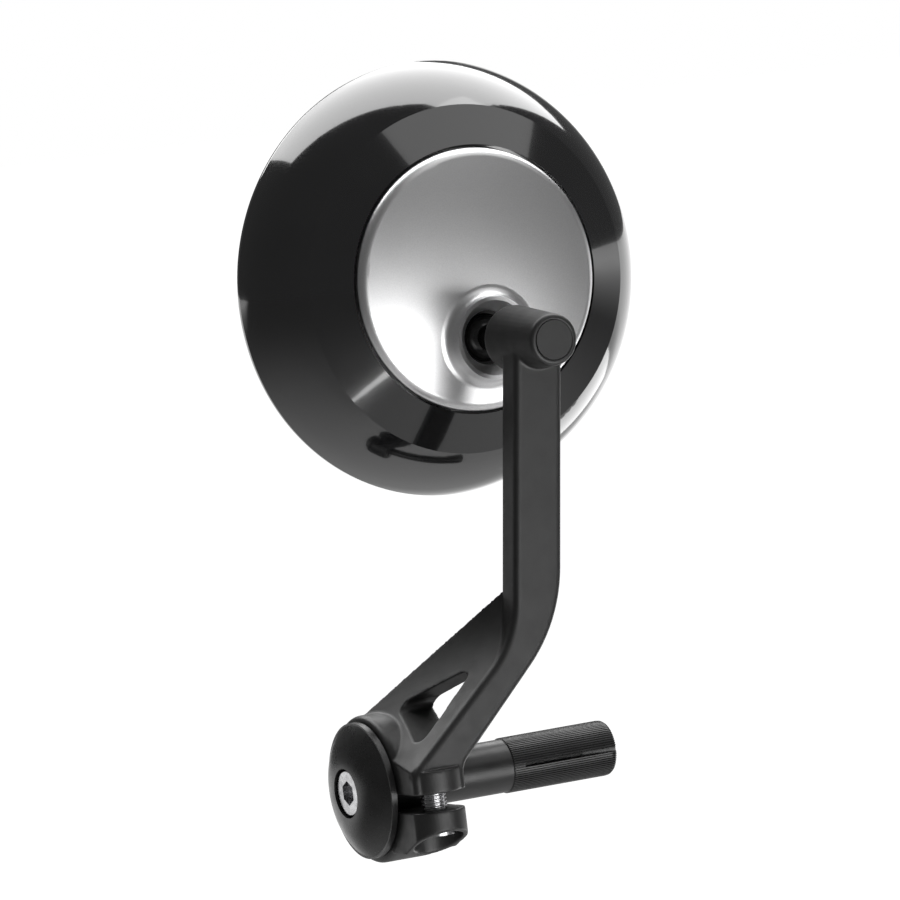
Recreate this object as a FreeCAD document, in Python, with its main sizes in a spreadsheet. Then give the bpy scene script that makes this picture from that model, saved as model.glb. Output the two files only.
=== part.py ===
"""Bar-end mirror: a round mirror head on a ball joint, a cast arm and a bar-end expander.

Row frame, millimetres: the origin is the centre of the shoulder that the handlebar's end
seats on. +X runs along the bar axis into the handlebar, -Y is the back of the mirror and
+Z is up.
"""
import FreeCAD, Part
import math
import os
import Sketcher

V = FreeCAD.Vector

DIMENSIONS = [
    # bar adapter, measured along the bar axis
    ("drum_dia", 20.0), ("drum_length", 14.0), ("flange_dia", 31.3), ("flange_thickness", 1.4),
    ("spigot_dia", 12.3), ("spigot_length", 21.0), ("sleeve_dia", 12.7), ("sleeve_length", 26.7),
    ("sleeve_bore_dia", 9.2), ("slit_width", 0.9), ("slit_start", 3.2),
    ("sleeve_edge_radius", 1.2), ("mouth_gap", 0.5),
    ("cap_dia", 30.4), ("cap_height", 3.8), ("cap_hole_dia", 11.4),
    ("cap_spigot_dia", 14.4), ("cap_floor_thickness", 1.5), ("cap_floor_depth", 6.6),
    ("washer_thickness", 1.0), ("screw_dia", 6.0), ("screw_head_dia", 10.0),
    ("screw_head_height", 5.0), ("hex_key", 5.0), ("hex_key_depth", 3.0),
    ("screw_end_recess", 1.0), ("cone_dia", 10.3), ("cone_length", 7.0), ("cone_travel", 2.0),
    ("running_gap", 0.05), ("loose_gap", 0.2), ("cut_overrun", 2.0),
    # arm: clamp ring, bolt ear, diagonal and upright
    ("ring_dia", 34.0), ("ring_side_gap", 0.3), ("ring_edge_radius", 1.5),
    ("arm_front", 24.7), ("arm_depth", 7.5), ("arm_width", 12.1), ("arm_edge_radius", 1.4),
    ("foot_height", 4.8), ("foot_bend_radius", 5.0), ("bend_x", 22.2), ("bend_z", 32.0),
    ("bend_offset", 6.2), ("bend_skew", 1.0),
    ("inner_bend_radius", 24.0), ("outer_bend_radius", 36.0),
    ("gusset_thickness", 7.0), ("gusset_root", 4.0), ("gusset_top", 4.5),
    ("gusset_rise", 6.8), ("gusset_back", 9.6),
    ("window_gap", 1.1), ("window_front", 19.4), ("window_low_angle", 32.3),
    ("window_top_z", 25.7), ("window_lean", 0.4), ("window_back", 4.9),
    ("window_corner_radius", 1.6),
    ("slot_top", 0.4), ("slot_width", 4.1), ("ear_dia", 13.8), ("ear_y", 20.0),
    ("ear_height", 7.7), ("ear_slant", 25.0), ("clamp_screw_dia", 5.0),
    ("clamp_head_dia", 8.5), ("clamp_head_height", 3.5), ("clamp_recess_dia", 11.4),
    ("clamp_key", 4.0), ("clamp_key_depth", 2.1), ("clamp_seat_thickness", 1.8),
    ("insert_wall", 0.6), ("insert_length", 7.0), ("clamp_end_length", 0.5),
    ("clamp_washer_dia", 10.0), ("clamp_washer_thickness", 0.5),
    # ball joint
    ("ball_x", 31.2), ("ball_y", 5.0), ("ball_z", 97.5), ("ball_dia", 12.0), ("neck_dia", 6.2),
    ("seat_gap", 0.15), ("seat_wall", 0.85), ("boss_dia", 15.6), ("boss_rear_dia", 11.8),
    ("boss_face", 11.0), ("boss_rear", 32.2), ("boss_edge_radius", 1.0),
    ("boss_face_radius", 1.8), ("plug_dia", 9.0), ("plug_thickness", 1.6), ("plug_gap", 0.5),
    ("nut_pocket_depth", 8.0), ("nut_pocket_dia", 8.6),
    ("stud_collar_dia", 9.6), ("stud_collar_thickness", 1.2), ("stud_thread_dia", 5.0),
    ("stud_nut_height", 4.0),
    # mirror head, measured along the mirror's own axis
    ("mirror_z", 110.9), ("head_dia", 100.0), ("band_width", 10.0), ("insert_dia", 60.4),
    ("insert_seam", 0.65), ("rim_y", 24.3), ("front_y", 26.2), ("crease_y", 8.4),
    ("seam_y", 3.9), ("housing_wall", 2.2), ("pocket_y", 6.5),
    ("dome_edge_y", 1.8), ("dome_rise", 2.6), ("insert_edge_radius", 2.3),
    ("socket_rim_y", -3.0), ("socket_rim_dia", 17.2), ("socket_lip_y", 0.3),
    ("socket_lip_dia", 12.5), ("socket_wall", 0.9), ("socket_flare", 1.0),
    ("socket_blend_radius", 2.8), ("throat_length", 4.0), ("carrier_dia", 28.0), ("carrier_depth", 11.0),
    ("pad_dia", 17.0), ("pad_length", 5.0), ("spring_height", 1.3),
    ("spring_thickness", 0.5), ("spring_margin", 0.4), ("preload_length", 2.6),
    ("preload_bore_dia", 6.0),
    ("carrier_screw_circle", 22.4), ("housing_screw_circle", 48.0), ("small_screw_dia", 3.0),
    ("small_head_dia", 5.5), ("small_head_height", 2.0), ("small_key", 2.0),
    ("small_key_depth", 1.2), ("small_screw_depth", 4.0), ("drill_point", 0.5),
    ("gasket_width", 1.0), ("glass_thickness", 3.0), ("glass_recess", 0.8), ("pad_thickness", 0.6),
    ("pad_margin", 2.0), ("backing_thickness", 1.6), ("rim_lip", 2.4), ("rim_round", 0.5),
    ("glass_ledge", 2.2), ("gasket_stand", 0.3),
]

doc = FreeCAD.newDocument("bar_end_mirror")
sheet = doc.addObject("Spreadsheet::Sheet", "Dims")
for row, (alias, value) in enumerate(DIMENSIONS, start=1):
    sheet.set(f"A{row}", alias)
    sheet.set(f"B{row}", str(value))
    sheet.setAlias(f"B{row}", alias)
doc.recompute()

SUB_PARTS = []


def size(alias):
    """One driving dimension, as a number."""
    return float(getattr(sheet, alias))


def bind(thing, **formulas):
    """Bind properties of an object to formulas over the sheet's names."""
    for prop, formula in formulas.items():
        thing.setExpression(prop.replace("__", "."), named(formula))


def named(formula):
    """Point every sheet name in a formula at the sheet."""
    known = {alias for alias, _ in DIMENSIONS}
    words = []
    word = ""
    for letter in formula + " ":
        if letter.isalnum() or letter == "_":
            word += letter
            continue
        words.append("Dims." + word if word in known else word)
        words.append(letter)
        word = ""
    return "".join(words).strip()


def finish(thing, label, x="0", y="0", z="0"):
    """Label a sub-part, place it by formula and list it for export."""
    thing.Label = label
    place(thing, x, y, z)
    SUB_PARTS.append(thing)
    return thing


def place(thing, x="0", y="0", z="0"):
    """Bind the base point of an object's placement."""
    for axis, formula in (("x", x), ("y", y), ("z", z)):
        if formula != "0":
            thing.setExpression(f"Placement.Base.{axis}", named(formula))


def outline(body, plane, name, corners, arcs=None):
    """A closed sketch whose corners are formulas; arcs maps an edge to a point it passes."""
    arcs = arcs or {}
    passing = sorted(arcs)
    sketch = body.newObject("Sketcher::SketchObject", name)
    support = [item for item in body.Origin.OriginFeatures if item.Role == plane][0]
    sketch.AttachmentSupport = [(support, "")]
    sketch.MapMode = "FlatFace"
    count = len(corners)
    for index, (u, v) in enumerate(corners + [arcs[edge] for edge in passing]):
        sketch.addGeometry(Part.Point(V(index + 1.0, index * index + 1.0, 0)), True)
        for kind, formula in (("DistanceX", u), ("DistanceY", v)):
            tie = sketch.addConstraint(Sketcher.Constraint(kind, -1, 1, index, 1, index + 1.0))
            sketch.setExpression(f"Constraints[{tie}]", named(formula))
    doc.recompute()
    spots = [V(point.X, point.Y, 0) for point in sketch.Geometry[:count]]
    for index in range(count):
        start = spots[index]
        end = spots[(index + 1) % count]
        if index in arcs:
            through = sketch.Geometry[count + passing.index(index)]
            edge = sketch.addGeometry(Part.Arc(start, V(through.X, through.Y, 0), end))
            # an arc's own ends run anticlockwise, so they are told apart by distance
            first = sketch.getPoint(edge, 1)
            first_end, second_end = (1, 2) if first.distanceToPoint(start) < 1e-6 else (2, 1)
            sketch.addConstraint(Sketcher.Constraint("Coincident", edge, first_end, index, 1))
            sketch.addConstraint(
                Sketcher.Constraint("Coincident", edge, second_end, (index + 1) % count, 1))
            sketch.addConstraint(Sketcher.Constraint(
                "PointOnObject", count + passing.index(index), 1, edge))
        else:
            edge = sketch.addGeometry(Part.LineSegment(start, end))
            sketch.addConstraint(Sketcher.Constraint("Coincident", edge, 1, index, 1))
            sketch.addConstraint(Sketcher.Constraint("Coincident", edge, 2, (index + 1) % count, 1))
    doc.recompute()
    return sketch


def turned(name, corners, axis="V_Axis", arcs=None):
    """A body turned from a half profile about the sketch's own axis."""
    body = doc.addObject("PartDesign::Body", name)
    sketch = outline(body, "XY_Plane", name + "_profile", corners, arcs)
    turn = body.newObject("PartDesign::Revolution", name + "_turn")
    turn.Profile = sketch
    turn.ReferenceAxis = (sketch, [axis])
    turn.Angle = 360
    doc.recompute()
    return body


def washer(name, inner, outer, start, end, axis="V_Axis"):
    """A turned ring between two radii and two stations, all formulas."""
    if axis == "V_Axis":
        corners = [(inner, start), (outer, start), (outer, end), (inner, end)]
    else:
        corners = [(start, inner), (start, outer), (end, outer), (end, inner)]
    return turned(name, corners, axis)


def cylinder(name, radius, length, direction=(0, 0, 1), x="0", y="0", z="0"):
    """A Part cylinder bound to the sheet, pointing along direction."""
    item = doc.addObject("Part::Cylinder", name)
    bind(item, Radius=radius, Height=length)
    item.Placement = FreeCAD.Placement(V(0, 0, 0), FreeCAD.Rotation(V(0, 0, 1), V(*direction)))
    place(item, x, y, z)
    return item


def block(name, length, width, height, x="0", y="0", z="0"):
    """A Part box bound to the sheet."""
    item = doc.addObject("Part::Box", name)
    bind(item, Length=length, Width=width, Height=height)
    place(item, x, y, z)
    return item


def fuse(name, parts):
    """Join several objects into one."""
    joined = doc.addObject("Part::MultiFuse", name)
    joined.Shapes = parts
    return joined


def cut(name, base, tools):
    """Take several tools away from a base, one after the other."""
    for index, tool in enumerate(tools):
        result = doc.addObject("Part::Cut", f"{name}_{index}")
        result.Base = base
        result.Tool = tool
        base = result
    return base


def hex_prism(name, across_flats, length, direction, x="0", y="0", z="0"):
    """A hexagonal prism for key sockets and nuts."""
    item = doc.addObject("Part::Prism", name)
    item.Polygon = 6
    bind(item, Circumradius=f"({across_flats}) / 2 / cos(30)", Height=length)
    item.Placement = FreeCAD.Placement(V(0, 0, 0), FreeCAD.Rotation(V(0, 0, 1), V(*direction)))
    place(item, x, y, z)
    return item


def screw(name, shank, head, head_height, length, key, key_depth, direction, x, y, z):
    """A socket-head screw: the head starts at its base point and the shank follows direction."""
    head_part = cylinder(name + "_head", f"{head} / 2", head_height, direction, x, y, z)
    shank_part = cylinder(name + "_shank", f"{shank} / 2", f"{head_height} + {length}",
                          direction, x, y, z)
    socket = hex_prism(name + "_key", key, key_depth, direction, x, y, z)
    return cut(name + "_cut", fuse(name + "_blank", [head_part, shank_part]), [socket])


# ---------------------------------------------------------------- bar adapter

FLANGE_FACE = "-(drum_length + flange_thickness)"
CAP_FLOOR = "-(drum_length + flange_thickness + cap_height - cap_floor_depth)"


def hub():
    """Flange, drum that the arm's ring turns on, shoulder and spigot, turned in one piece."""
    floor = f"({CAP_FLOOR} + cap_floor_thickness)"
    body = turned("hub_body", [
        (FLANGE_FACE, "cap_spigot_dia / 2 + running_gap"),
        (FLANGE_FACE, "flange_dia / 2"),
        ("-drum_length", "flange_dia / 2"),
        ("-drum_length", "drum_dia / 2"),
        ("0", "drum_dia / 2"),
        ("0", "spigot_dia / 2"),
        ("spigot_length", "spigot_dia / 2"),
        ("spigot_length", "screw_dia / 2 + loose_gap"),
        (floor, "screw_dia / 2 + loose_gap"),
        (floor, "cap_spigot_dia / 2 + running_gap"),
    ], "H_Axis")
    finish(body, "hub")


def end_cap():
    """Domed cap whose own spigot sits in the hub and takes the draw screw's head."""
    crown = f"({FLANGE_FACE} - cap_height)"
    floor = f"({CAP_FLOOR} + cap_floor_thickness)"
    body = turned("end_cap_body", [
        (crown, "cap_hole_dia / 2"),
        (FLANGE_FACE, "cap_dia / 2"),
        (FLANGE_FACE, "cap_spigot_dia / 2"),
        (floor, "cap_spigot_dia / 2"),
        (floor, "screw_dia / 2 + loose_gap"),
        (CAP_FLOOR, "screw_dia / 2 + loose_gap"),
        (CAP_FLOOR, "cap_hole_dia / 2"),
    ], "H_Axis", {0: (f"{crown} + cap_height * 0.38", "cap_dia * 0.375")})
    finish(body, "end_cap")


def draw_screw():
    """Socket screw that pulls the cone nut into the sleeve, with its washer."""
    ring = washer("draw_washer_body", "screw_dia / 2 + running_gap", "screw_head_dia / 2",
                  f"{CAP_FLOOR} - washer_thickness", CAP_FLOOR, "H_Axis")
    finish(ring, "draw_washer")
    head_face = f"{CAP_FLOOR} - washer_thickness - screw_head_height"
    reach = f"spigot_length + sleeve_length - screw_end_recess - ({CAP_FLOOR} - washer_thickness)"
    item = screw("draw_screw", "screw_dia", "screw_head_dia", "screw_head_height", reach,
                 "hex_key", "hex_key_depth", (1, 0, 0), head_face, "0", "0")
    finish(item, "draw_screw")


def expander_sleeve():
    """Split sleeve with a tapered mouth that the cone nut spreads inside the handlebar."""
    far = "spigot_length + sleeve_length"
    body = turned("sleeve_body", [
        ("spigot_length", "sleeve_bore_dia / 2"),
        ("spigot_length", "sleeve_dia / 2"),
        (f"{far} - sleeve_edge_radius", "sleeve_dia / 2"),
        (far, "sleeve_dia / 2 - sleeve_edge_radius * 0.4"),
        (far, "cone_dia / 2 + mouth_gap"),
        (f"{far} - cone_length - cone_travel", "sleeve_bore_dia / 2"),
    ], "H_Axis", {2: (f"{far} - sleeve_edge_radius * 0.25",
                    "sleeve_dia / 2 - sleeve_edge_radius * 0.1")})
    slits = []
    for index, turn in enumerate((-90, 30, 150)):
        slit = block(f"sleeve_slit_{index}", "sleeve_length", "sleeve_dia", "slit_width")
        spin = FreeCAD.Rotation(V(1, 0, 0), turn + 90)
        slit.Placement = FreeCAD.Placement(V(0, 0, 0), spin)
        bind(slit, Placement__Base__x="spigot_length + slit_start")
        offset = spin.multVec(V(0, 0, -0.5))
        bind(slit, Placement__Base__y=f"{offset.y:.6f} * slit_width")
        bind(slit, Placement__Base__z=f"{offset.z:.6f} * slit_width")
        slits.append(slit)
    finish(cut("sleeve_slit_cut", body, slits), "expander_sleeve")


def cone_nut():
    """Threaded cone at the sleeve's far end, drawn inwards by the screw."""
    far = "spigot_length + sleeve_length"
    body = turned("cone_body", [
        (f"{far} - cone_length", "screw_dia / 2 + running_gap"),
        (f"{far} - cone_length", "sleeve_bore_dia / 2 - loose_gap"),
        (far, "cone_dia / 2"),
        (far, "screw_dia / 2 + running_gap"),
    ], "H_Axis")
    finish(body, "cone_nut")


# ---------------------------------------------------------------- arm

RING_LEFT = "(-drum_length + ring_side_gap)"
RING_RIGHT = "(-2 * ring_side_gap)"
EAR_X = "((-drum_length + ring_side_gap - 2 * ring_side_gap) / 2)"


def arm_bar():
    """Foot, diagonal and upright as one bent bar of constant depth with rounded edges."""
    body = doc.addObject("PartDesign::Body", "arm_bar")
    sketch = outline(body, "XZ_Plane", "arm_bar_outline", [
        (RING_LEFT, "-slot_top"),
        (RING_LEFT, "foot_height"),
        ("bend_x - bend_offset", "bend_z - bend_skew"),
        ("ball_x - arm_width / 2", "ball_z"),
        ("ball_x + arm_width / 2", "ball_z"),
        ("bend_x + bend_offset", "bend_z + bend_skew"),
        (RING_RIGHT, "foot_height"),
        (RING_RIGHT, "-slot_top"),
    ])
    pad = body.newObject("PartDesign::Pad", "arm_bar_pad")
    pad.Profile = sketch
    bind(pad, Length="arm_depth")
    pad.Reversed = True
    doc.recompute()
    left = size("ring_side_gap") - size("drum_length")
    right = -2 * size("ring_side_gap")
    foot = size("foot_height")
    corner = (size("bend_x"), size("bend_z"))
    offset = (size("bend_offset"), size("bend_skew"))
    bends = [
        ("foot_bends", "foot_bend_radius", [(left, foot), (right, foot)]),
        ("inner_bend", "inner_bend_radius", [(corner[0] - offset[0], corner[1] - offset[1])]),
        ("outer_bend", "outer_bend_radius", [(corner[0] + offset[0], corner[1] + offset[1])]),
    ]
    last = pad
    for name, radius, spots in bends:
        edges = [edge_near(body.Shape, x, z) for x, z in spots]
        last = bar_fillet(body, name, last, edges, radius)
    bar_fillet(body, "bar_edges", last, long_edges(body.Shape), "arm_edge_radius")
    place(body, y="-arm_front")
    doc.recompute()
    return body


def bar_fillet(body, name, base, edges, radius):
    """Round some edges of the bar by one of the sheet's radii."""
    fillet = body.newObject("PartDesign::Fillet", name)
    fillet.Base = (base, edges)
    bind(fillet, Radius=radius)
    doc.recompute()
    return fillet


def edge_near(shape, x, z):
    """Name of the edge along Y that passes nearest to a point of the XZ plane."""
    best = None
    for index, edge in enumerate(shape.Edges, start=1):
        box = edge.BoundBox
        if box.XLength > 0.01 or box.ZLength > 0.01:
            continue
        gap = math.hypot(box.XMin - x, box.ZMin - z)
        if best is None or gap < best[0]:
            best = (gap, f"Edge{index}")
    return best[1]


def long_edges(shape):
    """Names of the edges that run up the bar's front and back faces."""
    names = []
    for index, edge in enumerate(shape.Edges, start=1):
        box = edge.BoundBox
        if box.YLength < 0.01 and box.ZLength > 0.5:
            names.append(f"Edge{index}")
    return names


def gusset_shape():
    """Twisted slab from the diagonal down over the top of the ring, ruled from end to end."""
    foot = V(size("ring_side_gap") - size("drum_length"), 0, size("foot_height"))
    knee = V(size("bend_x") - size("bend_offset"), 0, size("bend_z") - size("bend_skew"))
    along = (knee - foot).normalize()
    rise = V(-along.z, 0, along.x)
    front = V(0, -size("arm_front"), 0)
    upper_z = size("bend_z") + size("gusset_top")
    upper = foot + along * ((upper_z - foot.z) / along.z)
    tail = V(0, size("gusset_back"), 0)
    top_back = V(0, size("arm_depth") - size("arm_front"), 0)
    inset = V(0, size("arm_edge_radius"), 0)
    sections = []
    for base, back, deep in ((foot, tail, size("gusset_thickness")),
                             (upper, top_back, size("gusset_root"))):
        near = base + front + inset
        corners = [near, near - rise * deep, base + back, base + back + rise * size("gusset_rise")]
        sections.append(Part.makePolygon(corners + corners[:1]))
    return Part.makeLoft(sections, True, True)


def window_shape():
    """Three-cornered prism along X with rounded corners, clear of the ring below it."""
    ring = size("ring_dia") / 2 + size("window_gap")
    low_z = ring * math.sin(math.radians(size("window_low_angle")))
    start = V(0, -size("window_back"), ring)
    high = V(0, size("window_lean") - size("window_front"), size("window_top_z"))
    low = V(0, -size("window_front"), low_z)
    face = Part.Face(Part.makePolygon([start, high, low, start]))
    prism = face.extrude(V(2 * size("ring_dia"), 0, 0))
    prism.translate(V(-size("ring_dia"), 0, 0))
    edges = [edge for edge in prism.Edges if edge.BoundBox.XLength > 1]
    return prism.makeFillet(size("window_corner_radius"), edges)


def flat_rims(shape, axis):
    """Numbers of the circular edges of a cylinder or cone that stand square to an axis."""
    rims = []
    for index, edge in enumerate(shape.Edges, start=1):
        box = edge.BoundBox
        length = {"x": box.XLength, "y": box.YLength}[axis]
        if length < 0.01:
            rims.append((box.YMin, index))
    return [index for _, index in sorted(rims)]


def boss():
    """Tapered boss for the ball stud, rounded at both ends."""
    cone = doc.addObject("Part::Cone", "boss_cone")
    bind(cone, Radius1="boss_rear_dia / 2", Radius2="boss_dia / 2", Height="boss_rear - boss_face")
    cone.Placement = FreeCAD.Placement(V(0, 0, 0), FreeCAD.Rotation(V(0, 0, 1), V(0, 1, 0)))
    place(cone, "ball_x", "-boss_rear", "ball_z")
    doc.recompute()
    rear, face = flat_rims(cone.Shape, "y")
    fillet = doc.addObject("Part::Fillet", "arm_boss")
    fillet.Base = cone
    radii = ((rear, size("boss_edge_radius")), (face, size("boss_face_radius")))
    fillet.Edges = [(index, radius, radius) for index, radius in radii]
    doc.recompute()
    return fillet


THROUGH = "(4 * drum_length)"
THROUGH_START = "(-2 * drum_length)"
SLOT_FLOOR = "(-(slot_top + slot_width))"


def arm_blank():
    """Clamp ring, web, ear, bar, gusset and boss joined, before the holes are cut."""
    bar = arm_bar()
    gusset = doc.addObject("Part::Feature", "arm_gusset")
    gusset.Shape = gusset_shape()
    ring_length = f"({RING_RIGHT} - {RING_LEFT})"
    tube = cylinder("ring_blank", "ring_dia / 2", ring_length, (1, 0, 0), RING_LEFT)
    doc.recompute()
    ring = rounded("arm_ring", tube, flat_rims(tube.Shape, "x"), "ring_edge_radius")
    web_floor = f"({SLOT_FLOOR} - ear_height - cut_overrun)"
    web = block("arm_web", ring_length, "ear_y - drum_dia / 2 + cut_overrun / 2",
                f"foot_height - {web_floor}", RING_LEFT, "-ear_y", web_floor)
    ear_floor = f"({SLOT_FLOOR} - ear_height - ear_dia / 2)"
    ear = cylinder("arm_ear", "ear_dia / 2", f"foot_height - {ear_floor}", (0, 0, 1),
                   EAR_X, "-ear_y", ear_floor)
    return fuse("arm_blank", [bar, gusset, ring, web, ear, boss()])


def ear_slant_tool():
    """Block that cuts the ear's underside on a slope, higher towards the front."""
    tool = block("ear_slant_tool", THROUGH, "2 * ear_dia", "ear_dia")
    slope = FreeCAD.Rotation(V(1, 0, 0), -size("ear_slant"))
    tool.Placement = FreeCAD.Placement(V(0, 0, 0), slope)
    # the block's top face passes through the ear's axis at the ear's height
    middle = slope.multVec(V(0, 1, 1))
    place(tool, THROUGH_START, f"-ear_y - ({middle.y:.9f}) * ear_dia",
          f"{SLOT_FLOOR} - ear_height - ({middle.z:.9f}) * ear_dia")
    return tool


def arm():
    """Clamp ring, split bolt ear, windowed diagonal, upright and ball-stud boss in one casting."""
    window = doc.addObject("Part::Feature", "arm_window")
    window.Shape = window_shape()
    bore = cylinder("arm_bore", "drum_dia / 2 + running_gap", THROUGH, (1, 0, 0), THROUGH_START)
    side = block("ring_side_tool", "ring_dia", "4 * ring_dia", "2 * ring_dia",
                 f"{RING_LEFT} - ring_dia", "-2 * ring_dia", "-ring_dia")
    slot = block("arm_slot", THROUGH, "ear_y + ear_dia - drum_dia / 2 + cut_overrun", "slot_width",
                 THROUGH_START, "-ear_y - ear_dia", SLOT_FLOOR)
    seat = f"({SLOT_FLOOR} - clamp_seat_thickness)"
    recess = cylinder("ear_recess", "clamp_recess_dia / 2", "2 * ear_dia", (0, 0, -1), EAR_X,
                      "-ear_y", seat)
    hole = cylinder("ear_hole", "clamp_screw_dia / 2 + loose_gap", "2 * ear_dia", (0, 0, -1),
                    EAR_X, "-ear_y", "0")
    thread = cylinder("ear_thread", "clamp_screw_dia / 2 + insert_wall + running_gap",
                      "insert_length + 2 * cut_overrun", (0, 0, 1), EAR_X, "-ear_y",
                      "-slot_top - cut_overrun")
    stud_bore = cylinder("boss_bore", "stud_thread_dia / 2 + running_gap",
                         "boss_rear + 2 * cut_overrun", (0, 1, 0), "ball_x",
                         "-boss_rear - cut_overrun", "ball_z")
    pocket = cylinder("boss_pocket", "nut_pocket_dia / 2", "nut_pocket_depth", (0, 1, 0),
                      "ball_x", "-boss_rear", "ball_z")
    plug_seat = cylinder("boss_plug_seat", "plug_dia / 2 + running_gap", "plug_thickness",
                         (0, 1, 0), "ball_x", "-boss_rear", "ball_z")
    tools = [window, bore, side, slot, ear_slant_tool(), recess, hole, thread, stud_bore,
             pocket, plug_seat]
    finish(cut("arm_cut", arm_blank(), tools), "arm")


def clamp_bolt():
    """Socket screw through the ear, its washer and the steel thread insert above the slot."""
    seat = f"({SLOT_FLOOR} - clamp_seat_thickness)"
    ring = washer("clamp_washer_body", "clamp_screw_dia / 2 + running_gap",
                  "clamp_washer_dia / 2", "0", "clamp_washer_thickness")
    ring.Placement = FreeCAD.Placement(V(0, 0, 0), FreeCAD.Rotation(V(1, 0, 0), 90))
    finish(ring, "clamp_washer", EAR_X, "-ear_y", f"{seat} - clamp_washer_thickness")
    head_base = f"{seat} - clamp_washer_thickness - clamp_head_height"
    reach = ("clamp_washer_thickness + clamp_seat_thickness + slot_width + insert_length"
             " + clamp_end_length")
    item = screw("clamp_bolt", "clamp_screw_dia", "clamp_head_dia", "clamp_head_height", reach,
                 "clamp_key", "clamp_key_depth", (0, 0, 1), EAR_X, "-ear_y", head_base)
    finish(item, "clamp_bolt")
    coil = washer("insert_body", "clamp_screw_dia / 2 + running_gap",
                  "clamp_screw_dia / 2 + insert_wall", "0", "insert_length")
    coil.Placement = FreeCAD.Placement(V(0, 0, 0), FreeCAD.Rotation(V(1, 0, 0), 90))
    finish(coil, "thread_insert", EAR_X, "-ear_y", "-slot_top")


def ball_stud():
    """Ball, neck, collar and threaded tail, with the nut and the plug behind it."""
    ball = doc.addObject("Part::Sphere", "stud_ball")
    bind(ball, Radius="ball_dia / 2")
    place(ball, "ball_x", "ball_y", "ball_z")
    neck = cylinder("stud_neck", "neck_dia / 2", "boss_face + ball_y", (0, 1, 0), "ball_x",
                    "-boss_face", "ball_z")
    collar = cylinder("stud_collar", "stud_collar_dia / 2", "stud_collar_thickness", (0, 1, 0),
                      "ball_x", "-boss_face", "ball_z")
    tail_end = "(-boss_rear + plug_thickness + plug_gap)"
    tail = cylinder("stud_tail", "stud_thread_dia / 2", f"-boss_face - {tail_end}", (0, 1, 0),
                    "ball_x", tail_end, "ball_z")
    finish(fuse("stud_fuse", [ball, neck, collar, tail]), "ball_stud")
    nut = hex_prism("stud_nut_blank", "(nut_pocket_dia - 2 * loose_gap) * cos(30)", "stud_nut_height",
                    (0, 1, 0), "ball_x", "-boss_rear + nut_pocket_depth - stud_nut_height",
                    "ball_z")
    hole = cylinder("stud_nut_hole", "stud_thread_dia / 2 + running_gap", "boss_rear", (0, 1, 0),
                    "ball_x", "-boss_rear", "ball_z")
    finish(cut("stud_nut_cut", nut, [hole]), "stud_nut")
    plug = cylinder("boss_plug_disc", "plug_dia / 2", "plug_thickness - running_gap", (0, 1, 0),
                    "ball_x", "-boss_rear", "ball_z")
    finish(plug, "boss_plug")


# ---------------------------------------------------------------- ball seats

def ball_seat(name, label, start, end):
    """A spherical shell about the ball, between two angles measured from -Y."""
    inner = size("ball_dia") / 2 + size("seat_gap")
    outer = inner + size("seat_wall")

    def at(radius, angle):
        turn = math.radians(angle)
        return V(radius * math.sin(turn), -radius * math.cos(turn), 0)

    middle = (start + end) / 2
    edges = [Part.LineSegment(at(inner, start), at(outer, start)).toShape(),
             Part.Arc(at(outer, start), at(outer, middle), at(outer, end)).toShape(),
             Part.LineSegment(at(outer, end), at(inner, end)).toShape(),
             Part.Arc(at(inner, end), at(inner, middle), at(inner, start)).toShape()]
    profile = Part.Face(Part.Wire(edges))
    item = doc.addObject("Part::Feature", name)
    item.Shape = profile.revolve(V(0, 0, 0), V(0, 1, 0), 360)
    finish(item, label, "ball_x", "ball_y", "ball_z")


# ---------------------------------------------------------------- mirror head

CAVITY = "(ball_dia / 2 + 2 * seat_gap + seat_wall)"
CARRIER_END = "(pocket_y + carrier_depth)"
CREASE = "(head_dia / 2 - band_width)"
GLASS_RADIUS = "(head_dia / 2 - rim_lip - gasket_width - 2 * running_gap)"


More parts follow.
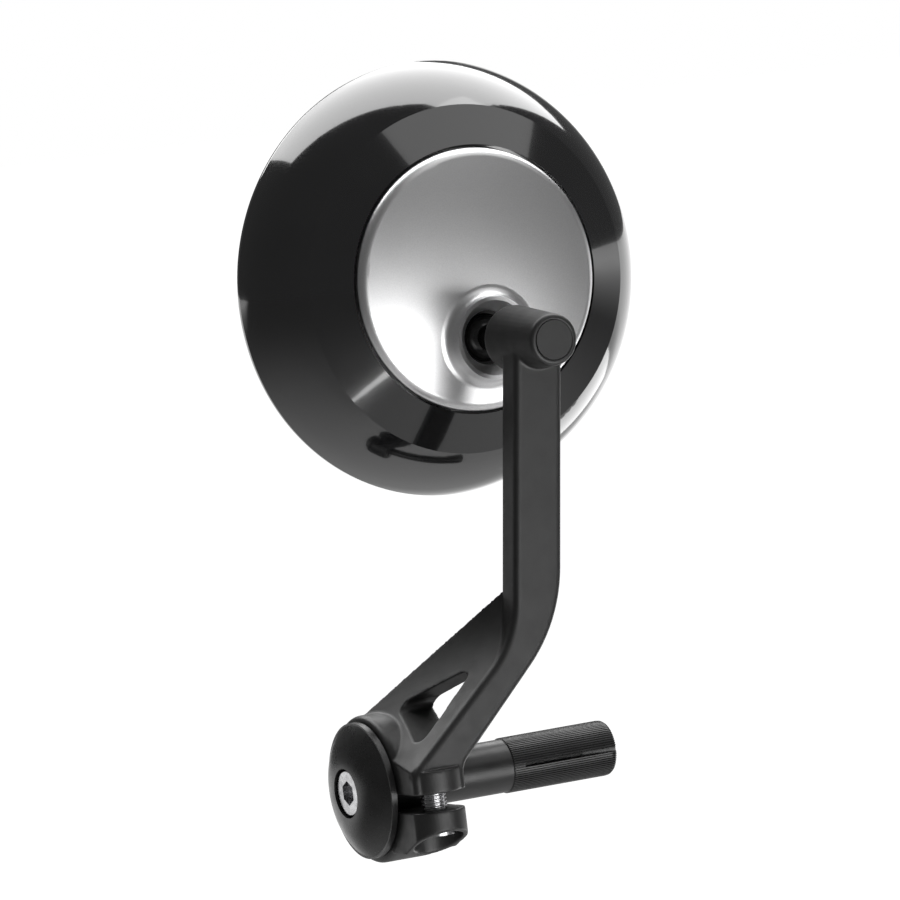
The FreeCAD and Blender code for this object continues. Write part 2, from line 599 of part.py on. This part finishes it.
def back_insert():
    """Domed disc with a flared, countersunk ball socket below its centre."""
    disc = turned("insert_disc", [
        ("0", "dome_edge_y - dome_rise"),
        ("insert_dia / 2 - insert_edge_radius", "dome_edge_y"),
        ("insert_dia / 2", "dome_edge_y + insert_edge_radius"),
        ("insert_dia / 2", "pocket_y"),
        ("0", "pocket_y"),
    ], "V_Axis", {0: ("(insert_dia / 2 - insert_edge_radius) / 2", "dome_edge_y - dome_rise * 0.75"),
                  1: ("insert_dia / 2 - insert_edge_radius * 0.293",
                      "dome_edge_y + insert_edge_radius * 0.34")})
    place(disc, "ball_x", "0", "mirror_z")
    rim = "socket_rim_dia / 2 + socket_wall"
    collar = doc.addObject("Part::Cone", "socket_collar")
    bind(collar, Radius1=rim, Radius2=f"{rim} + socket_flare * 2",
         Height="pocket_y - socket_rim_y")
    collar.Placement = FreeCAD.Placement(V(0, 0, 0), FreeCAD.Rotation(V(0, 0, 1), V(0, 1, 0)))
    place(collar, "ball_x", "socket_rim_y", "ball_z")
    blank = fuse("insert_blank", [disc, collar])
    doc.recompute()
    blend = rounded("socket_blend", blank, seam_edges(blank.Shape), "socket_blend_radius")
    mouth = doc.addObject("Part::Cone", "socket_mouth")
    bind(mouth, Radius1="socket_rim_dia / 2", Radius2="socket_lip_dia / 2",
         Height="socket_lip_y - socket_rim_y")
    mouth.Placement = FreeCAD.Placement(V(0, 0, 0), FreeCAD.Rotation(V(0, 0, 1), V(0, 1, 0)))
    place(mouth, "ball_x", "socket_rim_y", "ball_z")
    throat = cylinder("socket_throat", "socket_lip_dia / 2", "throat_length", (0, 1, 0), "ball_x",
                      "socket_lip_y - cut_overrun / 4", "ball_z")
    cavity = doc.addObject("Part::Sphere", "socket_cavity")
    bind(cavity, Radius=CAVITY)
    place(cavity, "ball_x", "ball_y", "ball_z")
    tail = cylinder("socket_tail", CAVITY, "carrier_depth", (0, 1, 0), "ball_x", "ball_y", "ball_z")
    screws = blind_holes("insert_holes", "pocket_y - small_screw_depth - drill_point")
    finish(cut("insert_cut", blend, [mouth, throat, cavity, tail] + screws), "back_insert")


def rounded(name, base, edges, alias):
    """Round the numbered edges of a base object by one of the sheet's radii."""
    fillet = doc.addObject("Part::Fillet", name)
    fillet.Base = base
    fillet.Edges = [(index, size(alias), size(alias)) for index in edges]
    doc.recompute()
    return fillet


def seam_edges(shape):
    """Edges where the socket collar meets the dome: closed, off the dome's axis, behind the rim."""
    found = []
    for index, edge in enumerate(shape.Edges, start=1):
        box = edge.BoundBox
        wide = size("socket_rim_dia") < box.ZLength < size("insert_dia") * 0.6
        if wide and box.YMin > size("socket_rim_y") + 0.3 and box.YMax < size("pocket_y") - 0.5:
            found.append(index)
    return found


def screw_spots():
    """Centres of the three carrier screws and the four housing screws, in the XZ plane."""
    spots = []
    for index in range(3):
        angle = math.radians(90 + 120 * index)
        reach = size("carrier_screw_circle") / 2
        spots.append(("carrier", size("ball_x") + reach * math.cos(angle),
                      size("ball_z") + reach * math.sin(angle)))
    for index in range(4):
        angle = math.radians(45 + 90 * index)
        reach = size("housing_screw_circle") / 2
        spots.append(("housing", size("ball_x") + reach * math.cos(angle),
                      size("mirror_z") + reach * math.sin(angle)))
    return spots


def blind_holes(name, start):
    """Holes for every head screw, running from start towards the glass."""
    tools = []
    for index, (_, x, z) in enumerate(screw_spots()):
        tool = cylinder(f"{name}_{index}", "small_screw_dia / 2 + running_gap", "front_y", (0, 1, 0),
                        str(x), start, str(z))
        tools.append(tool)
    return tools


def head_screws(kind, label, seat):
    """One set of small screws, heads towards the glass, as a group of separate solids."""
    pieces = []
    for index, (owner, x, z) in enumerate(screw_spots()):
        if owner != kind:
            continue
        length = f"({seat} - (pocket_y - small_screw_depth))"
        piece = screw(f"{label}_{index}", "small_screw_dia", "small_head_dia",
                      "small_head_height", length, "small_key", "small_key_depth",
                      (0, -1, 0), str(x),
                      f"{seat} + small_head_height", str(z))
        pieces.append(piece)
    group = doc.addObject("Part::Compound", label + "_group")
    group.Links = pieces
    finish(group, label)


def housing():
    """Deep dished shell: convex outer band, crease, conical inner ring, floor and rim lip."""
    rim = "head_dia / 2"
    seat = "insert_dia / 2 + insert_seam"
    wall = "housing_wall"
    glass_back = "(front_y - glass_recess - glass_thickness - pad_thickness - backing_thickness)"
    shell = turned("housing_shell", [
        ("0", "pocket_y"),
        (seat, "pocket_y"),
        (seat, "seam_y"),
        (CREASE, "crease_y"),
        (rim, "rim_y"),
        (f"{rim} - rim_round", "front_y"),
        (f"{rim} - rim_lip", "front_y"),
        (f"{rim} - rim_lip", glass_back),
        (f"{rim} - rim_lip - glass_ledge", glass_back),
        (f"{CREASE} - {wall} * 0.3", f"crease_y + {wall} + 1.6"),
        (f"{seat} + {wall} * 0.6", f"pocket_y + {wall}"),
        ("0", f"pocket_y + {wall}"),
    ], "V_Axis", {3: (f"{CREASE} + band_width * 0.65",
                      "crease_y + (rim_y - crease_y) * 0.44"),
                  4: (f"{rim} - 0.1", "rim_y + (front_y - rim_y) * 0.6")})
    place(shell, "ball_x", "0", "mirror_z")
    opening = cylinder("housing_opening", "carrier_dia / 2 + loose_gap", "front_y", (0, 1, 0),
                       "ball_x", "0", "ball_z")
    holes = blind_holes("housing_holes", "0")[3:]
    finish(cut("housing_cut", shell, [opening] + holes), "housing")


def socket_carrier():
    """Rear half of the ball socket, screwed to the back of the insert."""
    drum = washer("carrier_drum", "pad_dia / 2 + running_gap", "carrier_dia / 2",
                  "pocket_y", CARRIER_END)
    place(drum, "ball_x", "0", "ball_z")
    holes = blind_holes("carrier_holes", "0")[:3]
    finish(cut("carrier_cut", drum, holes), "socket_carrier")
    pad = cylinder("pad_blank", "pad_dia / 2", "pad_length", (0, 1, 0), "ball_x",
                   "ball_y + ball_dia / 4 + seat_gap", "ball_z")
    hollow = doc.addObject("Part::Sphere", "pad_hollow")
    bind(hollow, Radius=CAVITY)
    place(hollow, "ball_x", "ball_y", "ball_z")
    finish(cut("pad_cut", pad, [hollow]), "pressure_pad")


def preload():
    """Conical spring and threaded ring that press the pad on the rear seat."""
    pad_back = "(ball_y + ball_dia / 4 + seat_gap + pad_length)"
    spring = turned("spring_body", [
        ("pad_dia / 4", f"{pad_back} + spring_height - spring_thickness"),
        ("pad_dia / 2 - spring_margin", pad_back),
        ("pad_dia / 2 - spring_margin", f"{pad_back} + spring_thickness"),
        ("pad_dia / 4", f"{pad_back} + spring_height"),
    ])
    finish(spring, "disc_spring", "ball_x", "0", "ball_z")
    ring = washer("preload_body", "preload_bore_dia / 2", "pad_dia / 2", f"{pad_back} + spring_height",
                  f"{pad_back} + spring_height + preload_length")
    finish(ring, "preload_ring", "ball_x", "0", "ball_z")


def glass_stack():
    """Backing plate, adhesive pad, glass and the soft gasket in the rim."""
    face = "(front_y - glass_recess)"
    lip = "(head_dia / 2 - rim_lip)"
    glass_back = f"({face} - glass_thickness)"
    pad_back = f"({glass_back} - pad_thickness)"
    glass = washer("glass_body", "0", GLASS_RADIUS, glass_back, face)
    finish(glass, "mirror_glass", "ball_x", "0", "mirror_z")
    pad = washer("adhesive_body", "0", f"{GLASS_RADIUS} - pad_margin", pad_back, glass_back)
    finish(pad, "adhesive_pad", "ball_x", "0", "mirror_z")
    plate = washer("backing_body", "0", f"{lip} - running_gap",
                   f"{pad_back} - backing_thickness", pad_back)
    finish(plate, "backing_plate", "ball_x", "0", "mirror_z")
    gasket = washer("gasket_body", f"{GLASS_RADIUS} + running_gap", f"{lip} - running_gap",
                    glass_back, f"{face} + gasket_stand")
    finish(gasket, "glass_gasket", "ball_x", "0", "mirror_z")


hub()
end_cap()
draw_screw()
expander_sleeve()
cone_nut()
arm()
clamp_bolt()
ball_stud()
ball_seat("front_seat_shell", "front_seat", 64.0, 84.0)
ball_seat("rear_seat_shell", "rear_seat", 118.0, 162.0)
back_insert()
housing()
socket_carrier()
preload()
glass_stack()
head_screws("carrier", "carrier_screws", CARRIER_END)
head_screws("housing", "housing_screws", "(pocket_y + housing_wall)")
doc.recompute()

failed = [item.Label for item in doc.Objects
          if any(state in ("Invalid", "Error") for state in item.State)]
if failed:
    raise RuntimeError(f"failed objects: {failed}")
for item in SUB_PARTS:
    if item.Shape.isNull() or not item.Shape.isValid():
        raise RuntimeError(f"{item.Label} has no valid shape")
os.makedirs("parts", exist_ok=True)
for item in SUB_PARTS:
    item.Shape.exportStep(os.path.join("parts", item.Label + ".step"))
    box = item.Shape.optimalBoundingBox()
    print(f"{item.Label:18s} solids {len(item.Shape.Solids)} volume {item.Shape.Volume:9.1f} "
          f"x {box.XMin:.1f}..{box.XMax:.1f} y {box.YMin:.1f}..{box.YMax:.1f} "
          f"z {box.ZMin:.1f}..{box.ZMax:.1f}")
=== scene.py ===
import bpy
import math
from mathutils import Matrix, Vector


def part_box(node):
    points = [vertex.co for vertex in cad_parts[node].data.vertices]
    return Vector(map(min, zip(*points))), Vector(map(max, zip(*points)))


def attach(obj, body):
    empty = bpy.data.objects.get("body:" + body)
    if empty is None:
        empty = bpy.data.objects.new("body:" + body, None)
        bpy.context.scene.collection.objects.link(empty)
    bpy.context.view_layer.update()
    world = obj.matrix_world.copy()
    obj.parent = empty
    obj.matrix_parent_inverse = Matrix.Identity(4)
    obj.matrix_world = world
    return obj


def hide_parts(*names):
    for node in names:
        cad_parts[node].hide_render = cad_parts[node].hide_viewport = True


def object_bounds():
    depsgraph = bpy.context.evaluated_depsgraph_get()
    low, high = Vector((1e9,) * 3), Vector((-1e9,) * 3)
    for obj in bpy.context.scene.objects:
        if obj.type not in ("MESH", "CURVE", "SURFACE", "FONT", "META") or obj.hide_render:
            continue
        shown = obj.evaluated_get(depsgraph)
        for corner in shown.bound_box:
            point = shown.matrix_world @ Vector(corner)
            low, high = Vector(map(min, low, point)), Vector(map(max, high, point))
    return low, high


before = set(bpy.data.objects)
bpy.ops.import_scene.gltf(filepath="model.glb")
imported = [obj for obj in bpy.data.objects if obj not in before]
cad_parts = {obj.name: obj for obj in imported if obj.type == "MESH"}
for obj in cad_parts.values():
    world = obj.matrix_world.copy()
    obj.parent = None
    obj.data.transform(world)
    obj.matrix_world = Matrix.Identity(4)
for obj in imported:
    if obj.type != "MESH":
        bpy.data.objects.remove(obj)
cad_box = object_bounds()

MM = 0.001

# camera: azimuth, elevation and roll in degrees, distance, lens and aim in metres
VIEW_AZIMUTH = -26.56
VIEW_ELEVATION = 5.05
VIEW_ROLL = 6.97
VIEW_DISTANCE = 3.0
VIEW_LENS = 0.5276
VIEW_AIM = Vector((14.3, -6.8, 74.2)) * MM
SENSOR_WIDTH = 36
VIEW_REACH = 20


def direction(azimuth, elevation):
    """Unit vector from the part towards an azimuth and elevation, in degrees."""
    a = math.radians(azimuth)
    e = math.radians(elevation)
    return Vector((math.sin(a) * math.cos(e), -math.cos(a) * math.cos(e), math.sin(e)))


# stage: the level direction that lies behind the object in the main view, the floor's distance below
# the part, half its width, and the point that every lamp faces
BEHIND = direction(153, 0)
FLOOR_DROP = 0.9
FLOOR_REACH = 30.0
LAMP_AIM = Vector((20, 0, 90)) * MM

# casting: voxel and smoothing that round its edges
SOFT_VOXEL = 0.24 * MM
SOFT_PASSES = 9
SOFT_FACTOR = 0.5

# expander sleeve: ribs, the flat band between them and the slits, by turn about the bar
RIB_COUNT = 74
RIB_DEPTH = 0.28 * MM
RIB_STEPS = 6
GROOVE_STEPS = 2
BAND_TURN = math.radians(262)
BAND_HALF = math.radians(14)
BAND_DEPTH = RIB_DEPTH * 0.8
SLIT_HALF = math.radians(4.5)
SLIT_TURNS = [math.radians(turn) for turn in (90, 210, 330)]

# expander sleeve: wall, solid foot, step where the slits begin, and the rounding of its two ends
SLEEVE_WALL = 1.75 * MM
SLIT_START = 3.0 * MM
SLIT_STEP = 0.05 * MM
FOOT_ROUND = 0.25 * MM
FOOT_SCALE = 0.96
NOSE_ROUND = 1.2 * MM
NOSE_SCALES = (0.985, 0.935)
MOUTH_WALL = 0.75 * MM
MOUTH_DEPTH = 8 * MM

# clamp bolt: the stretch of thread that shows in the slot, and its profile in shares of the pitch
THREAD_BOTTOM = -4.7 * MM
THREAD_TOP = -0.9 * MM
THREAD_PITCH = 0.8 * MM
THREAD_ROOT = 2.45 * MM
THREAD_CREST = 2.95 * MM
THREAD_STEPS = 32
THREAD_PROFILE = ((THREAD_ROOT, 0.0), (THREAD_CREST, 0.36), (THREAD_CREST, 0.5), (THREAD_ROOT, 0.86))


# ---------------------------------------------------------------- materials

def node_material(name, color, metallic=0.0, roughness=0.4):
    """A Principled material with its shader and tree."""
    material = bpy.data.materials.new(name)
    material.use_nodes = True
    tree = material.node_tree
    shader = tree.nodes["Principled BSDF"]
    shader.inputs["Base Color"].default_value = (*color, 1.0)
    shader.inputs["Metallic"].default_value = metallic
    shader.inputs["Roughness"].default_value = roughness
    return material, tree, shader


def noise(tree, scale, detail=3.0):
    """Object-space noise at a scale per metre."""
    coords = tree.nodes.new("ShaderNodeTexCoord")
    texture = tree.nodes.new("ShaderNodeTexNoise")
    texture.inputs["Scale"].default_value = scale
    texture.inputs["Detail"].default_value = detail
    tree.links.new(coords.outputs["Object"], texture.inputs["Vector"])
    return texture


def vary_roughness(tree, shader, low, high, scale):
    """Roughness that wanders between two values."""
    texture = noise(tree, scale)
    spread = tree.nodes.new("ShaderNodeMapRange")
    spread.inputs["From Min"].default_value = 0.3
    spread.inputs["From Max"].default_value = 0.7
    spread.inputs["To Min"].default_value = low
    spread.inputs["To Max"].default_value = high
    tree.links.new(texture.outputs["Fac"], spread.inputs["Value"])
    tree.links.new(spread.outputs["Result"], shader.inputs["Roughness"])


def vary_color(tree, shader, dark, light, scale):
    """Base colour that wanders between two close tones."""
    texture = noise(tree, scale, 5.0)
    ramp = tree.nodes.new("ShaderNodeValToRGB")
    ramp.color_ramp.elements[0].position = 0.35
    ramp.color_ramp.elements[0].color = (*dark, 1.0)
    ramp.color_ramp.elements[1].position = 0.65
    ramp.color_ramp.elements[1].color = (*light, 1.0)
    tree.links.new(texture.outputs["Fac"], ramp.inputs["Fac"])
    tree.links.new(ramp.outputs["Color"], shader.inputs["Base Color"])


def grain(tree, shader, scale, strength, depth):
    """Fine surface grain, depth in metres."""
    texture = noise(tree, scale, 2.0)
    bump = tree.nodes.new("ShaderNodeBump")
    bump.inputs["Strength"].default_value = strength
    bump.inputs["Distance"].default_value = depth
    tree.links.new(texture.outputs["Fac"], bump.inputs["Height"])
    tree.links.new(bump.outputs["Normal"], shader.inputs["Normal"])


def gloss_black():
    """Deep gloss lacquer of the housing."""
    material, tree, shader = node_material("gloss_lacquer", (0.006, 0.006, 0.0065))
    vary_color(tree, shader, (0.005, 0.005, 0.0055), (0.007, 0.007, 0.0075), 60)
    vary_roughness(tree, shader, 0.1, 0.14, 90)
    shader.inputs["IOR"].default_value = 1.6
    shader.inputs["Coat Weight"].default_value = 1.0
    shader.inputs["Coat Roughness"].default_value = 0.05
    shader.inputs["Coat IOR"].default_value = 1.7
    grain(tree, shader, 500, 0.04, 0.00002)
    return material


def blasted_silver():
    """Bead-blasted and anodised aluminium."""
    material, tree, shader = node_material("blasted_silver", (0.8, 0.8, 0.81), 1.0)
    vary_color(tree, shader, (0.77, 0.77, 0.775), (0.83, 0.83, 0.835), 4000)
    vary_roughness(tree, shader, 0.33, 0.37, 2500)
    grain(tree, shader, 4200, 0.1, 0.00002)
    return material


def satin_black(name, low, high, tone=0.022, scale=3200, strength=0.18):
    """Black anodised or powder-coated metal."""
    material, tree, shader = node_material(name, (tone, tone, tone * 1.05))
    vary_color(tree, shader, (tone * 0.85,) * 3, (tone * 1.2,) * 3, 220)
    vary_roughness(tree, shader, low, high, 300)
    shader.inputs["IOR"].default_value = 1.6
    grain(tree, shader, scale, strength, 0.00004)
    return material


def bright_steel():
    """Zinc-plated screw steel."""
    material, tree, shader = node_material("bright_steel", (0.6, 0.6, 0.61), 1.0)
    vary_color(tree, shader, (0.5, 0.5, 0.51), (0.66, 0.66, 0.67), 500)
    vary_roughness(tree, shader, 0.2, 0.34, 900)
    grain(tree, shader, 2600, 0.15, 0.00003)
    return material


def brass():
    """Turned brass of the preload ring."""
    material, tree, shader = node_material("turned_brass", (0.72, 0.52, 0.22), 1.0)
    vary_color(tree, shader, (0.66, 0.47, 0.19), (0.76, 0.56, 0.25), 300)
    vary_roughness(tree, shader, 0.22, 0.32, 800)
    return material


def soft_black(name, low, high):
    """Moulded plastic or rubber."""
    material, tree, shader = node_material(name, (0.018, 0.018, 0.018))
    vary_color(tree, shader, (0.014,) * 3, (0.022,) * 3, 260)
    vary_roughness(tree, shader, low, high, 500)
    grain(tree, shader, 2400, 0.2, 0.00005)
    return material


def silvered_glass():
    """First-surface look of a tinted safety mirror."""
    material, tree, shader = node_material("silvered_glass", (0.86, 0.88, 0.9), 1.0)
    vary_color(tree, shader, (0.85, 0.87, 0.89), (0.87, 0.89, 0.91), 12)
    vary_roughness(tree, shader, 0.0, 0.012, 40)
    return material


def paint_nodes():
    """Every CAD node gets its finish."""
    arm_finish = satin_black("arm_anodise", 0.4, 0.5, 0.012)
    finishes = {
        "housing": gloss_black(),
        "back_insert": blasted_silver(),
        "arm": arm_finish,
        "boss_plug": satin_black("plug_anodise", 0.4, 0.5, 0.014),
        "end_cap": satin_black("cap_anodise", 0.24, 0.32, 0.016, 4200, 0.1),
        "hub": satin_black("hub_anodise", 0.3, 0.4, 0.012, 3600, 0.12),
        "expander_sleeve": satin_black("sleeve_anodise", 0.3, 0.42, 0.014),
        "ball_stud": satin_black("ball_black", 0.14, 0.24, 0.01, 2200, 0.08),
        "mirror_glass": silvered_glass(),
        "preload_ring": brass(),
    }
    steel = bright_steel()
    plastic = soft_black("moulded_plastic", 0.42, 0.55)
    rubber = soft_black("soft_rubber", 0.6, 0.75)
    for name in ("draw_screw", "draw_washer", "cone_nut", "clamp_bolt", "clamp_washer",
                 "thread_insert", "stud_nut", "disc_spring", "carrier_screws",
                 "housing_screws"):
        finishes[name] = steel
    for name in ("front_seat", "rear_seat", "socket_carrier", "pressure_pad", "backing_plate"):
        finishes[name] = plastic
    for name in ("adhesive_pad", "glass_gasket"):
        finishes[name] = rubber
    for name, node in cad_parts.items():
        node.data.materials.clear()
        node.data.materials.append(finishes[name])
    return finishes


# ---------------------------------------------------------------- pieces

def mesh_piece(name, vertices, faces, material, body):
    """A new mesh that rides on a body."""
    mesh = bpy.data.meshes.new(name)
    mesh.from_pydata(vertices, [], faces)
    mesh.validate()
    piece = bpy.data.objects.new(name, mesh)
    bpy.context.scene.collection.objects.link(piece)
    mesh.materials.append(material)
    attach(piece, body)
    return piece


def softened_arm(material):
    """The casting with its edges and joins rounded, standing for the CAD arm."""
    piece = bpy.data.objects.new("arm_casting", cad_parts["arm"].data.copy())
    bpy.context.scene.collection.objects.link(piece)
    remesh = piece.modifiers.new("remesh", "REMESH")
    remesh.mode = "VOXEL"
    remesh.voxel_size = SOFT_VOXEL
    smooth = piece.modifiers.new("smooth", "SMOOTH")
    smooth.factor = SOFT_FACTOR
    smooth.iterations = SOFT_PASSES
    depsgraph = bpy.context.evaluated_depsgraph_get()
    soft = bpy.data.meshes.new_from_object(piece.evaluated_get(depsgraph))
    piece.modifiers.clear()
    piece.data = soft
    soft.materials.clear()
    soft.materials.append(material)
    for face in soft.polygons:
        face.use_smooth = True
    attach(piece, "arm")
    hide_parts("arm")
    return piece


def turn_gap(a, b):
    """Smallest angle between two turns."""
    return abs((a - b + math.pi) % (2 * math.pi) - math.pi)


def sleeve_outline(radius, bore, slotted):
    """Angles and radii once round the sleeve, with ribs, a flat band and the slits."""
    points = []
    steps = RIB_COUNT * RIB_STEPS
    for index in range(steps):
        turn = 2 * math.pi * index / steps
        reach = radius - RIB_DEPTH if index % RIB_STEPS < GROOVE_STEPS else radius
        if turn_gap(turn, BAND_TURN) < BAND_HALF:
            reach = radius - BAND_DEPTH
        if slotted and any(turn_gap(turn, slit) < SLIT_HALF for slit in SLIT_TURNS):
            reach = bore
        points.append((turn, reach))
    return points


def add_ring(vertices, x, outline):
    """A ring of vertices about the bar at one station, as their indices."""
    first = len(vertices)
    for turn, reach in outline:
        vertices.append((x, -reach * math.sin(turn), reach * math.cos(turn)))
    return list(range(first, len(vertices)))


def sleeve_rings(vertices):
    """Rings from the sleeve's foot along its outside to its nose, and back through its bore."""
    low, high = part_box("expander_sleeve")
    radius = (high[2] - low[2]) / 2
    start, end = low[0], high[0]
    bore = radius - SLEEVE_WALL
    outside = ((start, FOOT_SCALE, False), (start + FOOT_ROUND, 1.0, False),
               (start + SLIT_START, 1.0, False), (start + SLIT_START + SLIT_STEP, 1.0, True),
               (end - NOSE_ROUND, 1.0, True), (end - NOSE_ROUND * 0.4, NOSE_SCALES[0], True),
               (end, NOSE_SCALES[1], True))
    inside = ((end, radius - MOUTH_WALL), (end - MOUTH_DEPTH, bore), (start, bore))
    rings = []
    for x, scale, slotted in outside:
        outline = sleeve_outline(radius, bore, slotted)
        rings.append(add_ring(vertices, x, [(turn, max(reach * scale, bore)) for turn, reach in outline]))
    for x, reach in inside:
        outline = sleeve_outline(radius, bore, False)
        rings.append(add_ring(vertices, x, [(turn, reach) for turn, _ in outline]))
    return rings


def ribbed_sleeve(material):
    """Expander sleeve with fine lengthwise ribs, standing for the CAD sleeve."""
    vertices = []
    rings = sleeve_rings(vertices)
    faces = []
    for first, second in zip(rings, rings[1:] + rings[:1]):
        for index in range(len(first)):
            after = (index + 1) % len(first)
            faces.append((first[index], first[after], second[after], second[index]))
    piece = mesh_piece("ribbed_sleeve", vertices, faces, material, "bar_adapter")
    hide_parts("expander_sleeve")
    return piece


def bolt_thread(material):
    """Rolled thread of the clamp bolt where it crosses the ear's slot."""
    low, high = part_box("clamp_bolt")
    center = ((low[0] + high[0]) / 2, (low[1] + high[1]) / 2)
    vertices = []
    faces = []
    count = round((THREAD_TOP - THREAD_BOTTOM) / THREAD_PITCH * THREAD_STEPS)
    for index in range(count + 1):
        turn = 2 * math.pi * index / THREAD_STEPS
        z = THREAD_BOTTOM + THREAD_PITCH * index / THREAD_STEPS
        for reach, lift in THREAD_PROFILE:
            vertices.append((center[0] + reach * math.cos(turn),
                             center[1] + reach * math.sin(turn), z + lift * THREAD_PITCH))
    corners = len(THREAD_PROFILE)
    for index in range(count):
        for side in range(corners):
            a = index * corners + side
            b = index * corners + (side + 1) % corners
            faces.append((a, b, b + corners, a + corners))
    return mesh_piece("bolt_thread", vertices, faces, material, "clamp_bolt")


# ---------------------------------------------------------------- stage, light, camera

def set_stage():
    """Pale floor well below the part, wide enough to fill the lower view."""
    material, tree, shader = node_material("pale_paper", (0.95, 0.95, 0.95), 0.0, 0.9)
    vary_color(tree, shader, (0.94, 0.94, 0.94), (0.96, 0.96, 0.96), 2)
    shader.inputs["Specular IOR Level"].default_value = 0.0
    white_when_seen(tree, shader)
    drop = cad_box[0][2] - FLOOR_DROP
    corners = ((-1, -1), (1, -1), (1, 1), (-1, 1))
    vertices = [(FLOOR_REACH * x, FLOOR_REACH * y, drop) for x, y in corners]
    mesh = bpy.data.meshes.new("floor")
    mesh.from_pydata(vertices, [], [(0, 1, 2, 3)])
    floor = bpy.data.objects.new("floor", mesh)
    mesh.materials.append(material)
    bpy.context.scene.collection.objects.link(floor)


def math_node(tree, operation):
    """A math node with one operation."""
    node = tree.nodes.new("ShaderNodeMath")
    node.operation = operation
    return node


def seen_share(tree, place, start, end):
    """1 for camera and transmission rays, and for glossy rays that meet the side behind."""
    path = tree.nodes.new("ShaderNodeLightPath")
    along = tree.nodes.new("ShaderNodeVectorMath")
    along.operation = "DOT_PRODUCT"
    along.inputs[1].default_value = BEHIND
    zone = tree.nodes.new("ShaderNodeMapRange")
    zone.inputs["From Min"].default_value = start
    zone.inputs["From Max"].default_value = end
    mirrored = math_node(tree, "MULTIPLY")
    direct = math_node(tree, "MAXIMUM")
    either = math_node(tree, "MAXIMUM")
    tree.links.new(place, along.inputs[0])
    tree.links.new(along.outputs["Value"], zone.inputs["Value"])
    tree.links.new(zone.outputs["Result"], mirrored.inputs[0])
    tree.links.new(path.outputs["Is Glossy Ray"], mirrored.inputs[1])
    tree.links.new(path.outputs["Is Camera Ray"], direct.inputs[0])
    tree.links.new(path.outputs["Is Transmission Ray"], direct.inputs[1])
    tree.links.new(direct.outputs[0], either.inputs[0])
    tree.links.new(mirrored.outputs[0], either.inputs[1])
    return either.outputs[0]


def white_when_seen(tree, shader):
    """Lifts the paper to white where it is seen, while its shadows stay."""
    coords = tree.nodes.new("ShaderNodeTexCoord")
    glow = tree.nodes.new("ShaderNodeEmission")
    glow.inputs["Strength"].default_value = 1.0
    add = tree.nodes.new("ShaderNodeAddShader")
    mix = tree.nodes.new("ShaderNodeMixShader")
    out = tree.nodes["Material Output"]
    tree.links.new(shader.outputs[0], add.inputs[0])
    tree.links.new(glow.outputs[0], add.inputs[1])
    tree.links.new(seen_share(tree, coords.outputs["Object"], 1.0, 3.0), mix.inputs["Fac"])
    tree.links.new(shader.outputs[0], mix.inputs[1])
    tree.links.new(add.outputs[0], mix.inputs[2])
    tree.links.new(mix.outputs[0], out.inputs["Surface"])


def set_world():
    """White where it is seen, softer as a light."""
    world = bpy.data.worlds.new("studio")
    bpy.context.scene.world = world
    world.use_nodes = True
    tree = world.node_tree
    tree.nodes.clear()
    coords = tree.nodes.new("ShaderNodeTexCoord")
    seen = tree.nodes.new("ShaderNodeBackground")
    seen.inputs["Strength"].default_value = 1.0
    light = tree.nodes.new("ShaderNodeBackground")
    light.inputs["Strength"].default_value = 0.1
    mix = tree.nodes.new("ShaderNodeMixShader")
    out = tree.nodes.new("ShaderNodeOutputWorld")
    for node in (seen, light):
        node.inputs["Color"].default_value = (1, 1, 1, 1)
    tree.links.new(seen_share(tree, coords.outputs["Generated"], 0.96, 0.99), mix.inputs["Fac"])
    tree.links.new(light.outputs[0], mix.inputs[1])
    tree.links.new(seen.outputs[0], mix.inputs[2])
    tree.links.new(mix.outputs[0], out.inputs["Surface"])


def panel(name, azimuth, elevation, distance, width, height, power):
    """A soft box that faces the mirror head."""
    data = bpy.data.lights.new(name, "AREA")
    data.shape = "RECTANGLE"
    data.size = width
    data.size_y = height
    data.energy = power
    lamp = bpy.data.objects.new(name, data)
    bpy.context.scene.collection.objects.link(lamp)
    away = direction(azimuth, elevation)
    lamp.location = LAMP_AIM + away * distance
    lamp.rotation_euler = away.to_track_quat("Z", "Y").to_euler()


def set_lights():
    """A wide box high on the glass side, a low one at the back, and two weak ones on the right."""
    panel("overhead_box", 150, 60, 0.85, 1.5, 1.1, 17)
    panel("low_front", 8, -24, 1.0, 0.8, 0.5, 5.5)
    panel("low_right", 112, -34, 0.8, 0.3, 0.4, 0.8)
    panel("soft_front", 40, 44, 1.2, 1.0, 0.8, 2)


def set_camera():
    """Long-lens camera at the viewing angle, rolled so that the upright stands vertical."""
    back = direction(VIEW_AZIMUTH, VIEW_ELEVATION)
    level = direction(VIEW_AZIMUTH + 90, 0)
    above = back.cross(level)
    roll = math.radians(VIEW_ROLL)
    up = above * math.cos(roll) + level * math.sin(roll)
    right = up.cross(back)
    data = bpy.data.cameras.new("camera")
    data.lens = VIEW_LENS / MM
    data.sensor_width = SENSOR_WIDTH
    data.clip_end = VIEW_REACH
    camera = bpy.data.objects.new("camera", data)
    bpy.context.scene.collection.objects.link(camera)
    turn = Matrix((right, up, back)).transposed().to_4x4()
    camera.matrix_world = Matrix.Translation(VIEW_AIM + back * VIEW_DISTANCE) @ turn
    bpy.context.scene.camera = camera


finishes = paint_nodes()
softened_arm(finishes["arm"])
ribbed_sleeve(finishes["expander_sleeve"])
bolt_thread(finishes["clamp_bolt"])
set_stage()
set_world()
set_lights()
set_camera()
bpy.context.scene.view_settings.view_transform = "Standard"
